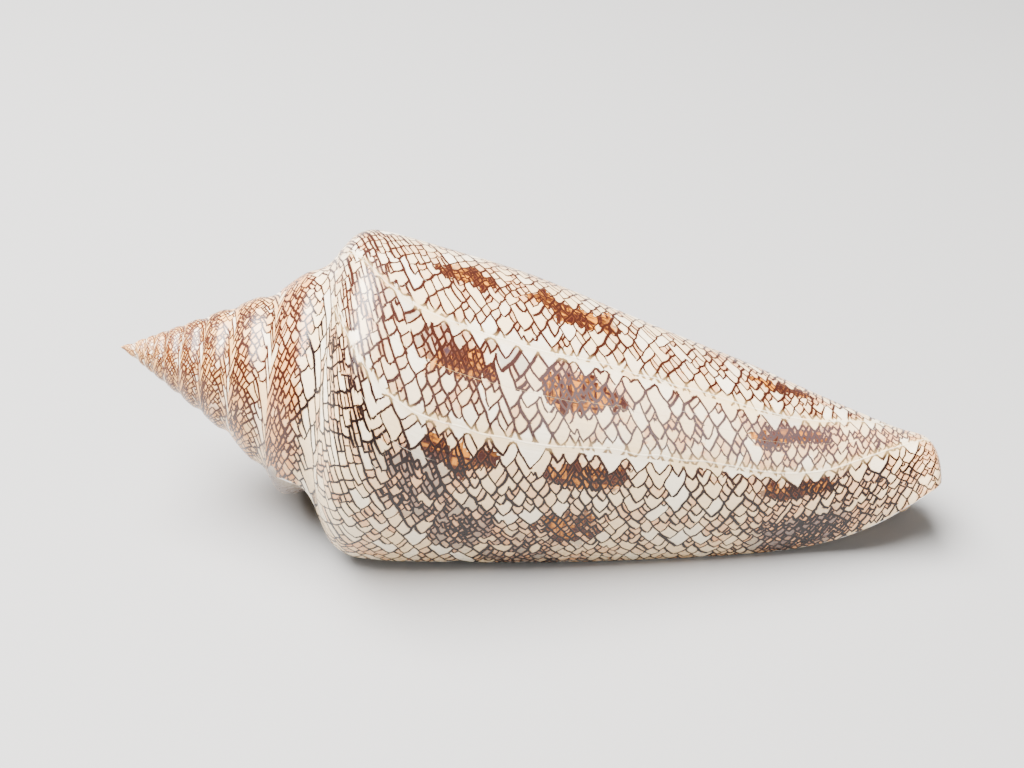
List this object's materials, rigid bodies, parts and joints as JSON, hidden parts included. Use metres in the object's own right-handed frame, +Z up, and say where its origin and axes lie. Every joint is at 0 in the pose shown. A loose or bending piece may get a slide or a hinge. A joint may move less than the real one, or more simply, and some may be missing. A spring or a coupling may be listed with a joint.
{
  "type": "cone shell",
  "caption": "Tall, slender sea snail shell with a stepped pointed spire and a long cone body, lying on its slit aperture.",
  "frame": {"origin": "centre of the bounding box in plan, at the surface the shell rests on", "axes": "+X towards the narrow open end, -X towards the tip of the spire, -Y towards the side the outer lip comes down on, +Z up"},
  "size_m": [0.111, 0.0424, 0.0387],
  "materials": {
    "shell": "polished aragonite with a porcelain gloss"
  },
  "bodies": {
    "root": {"shell": "shell"}
  },
  "joints": []
}
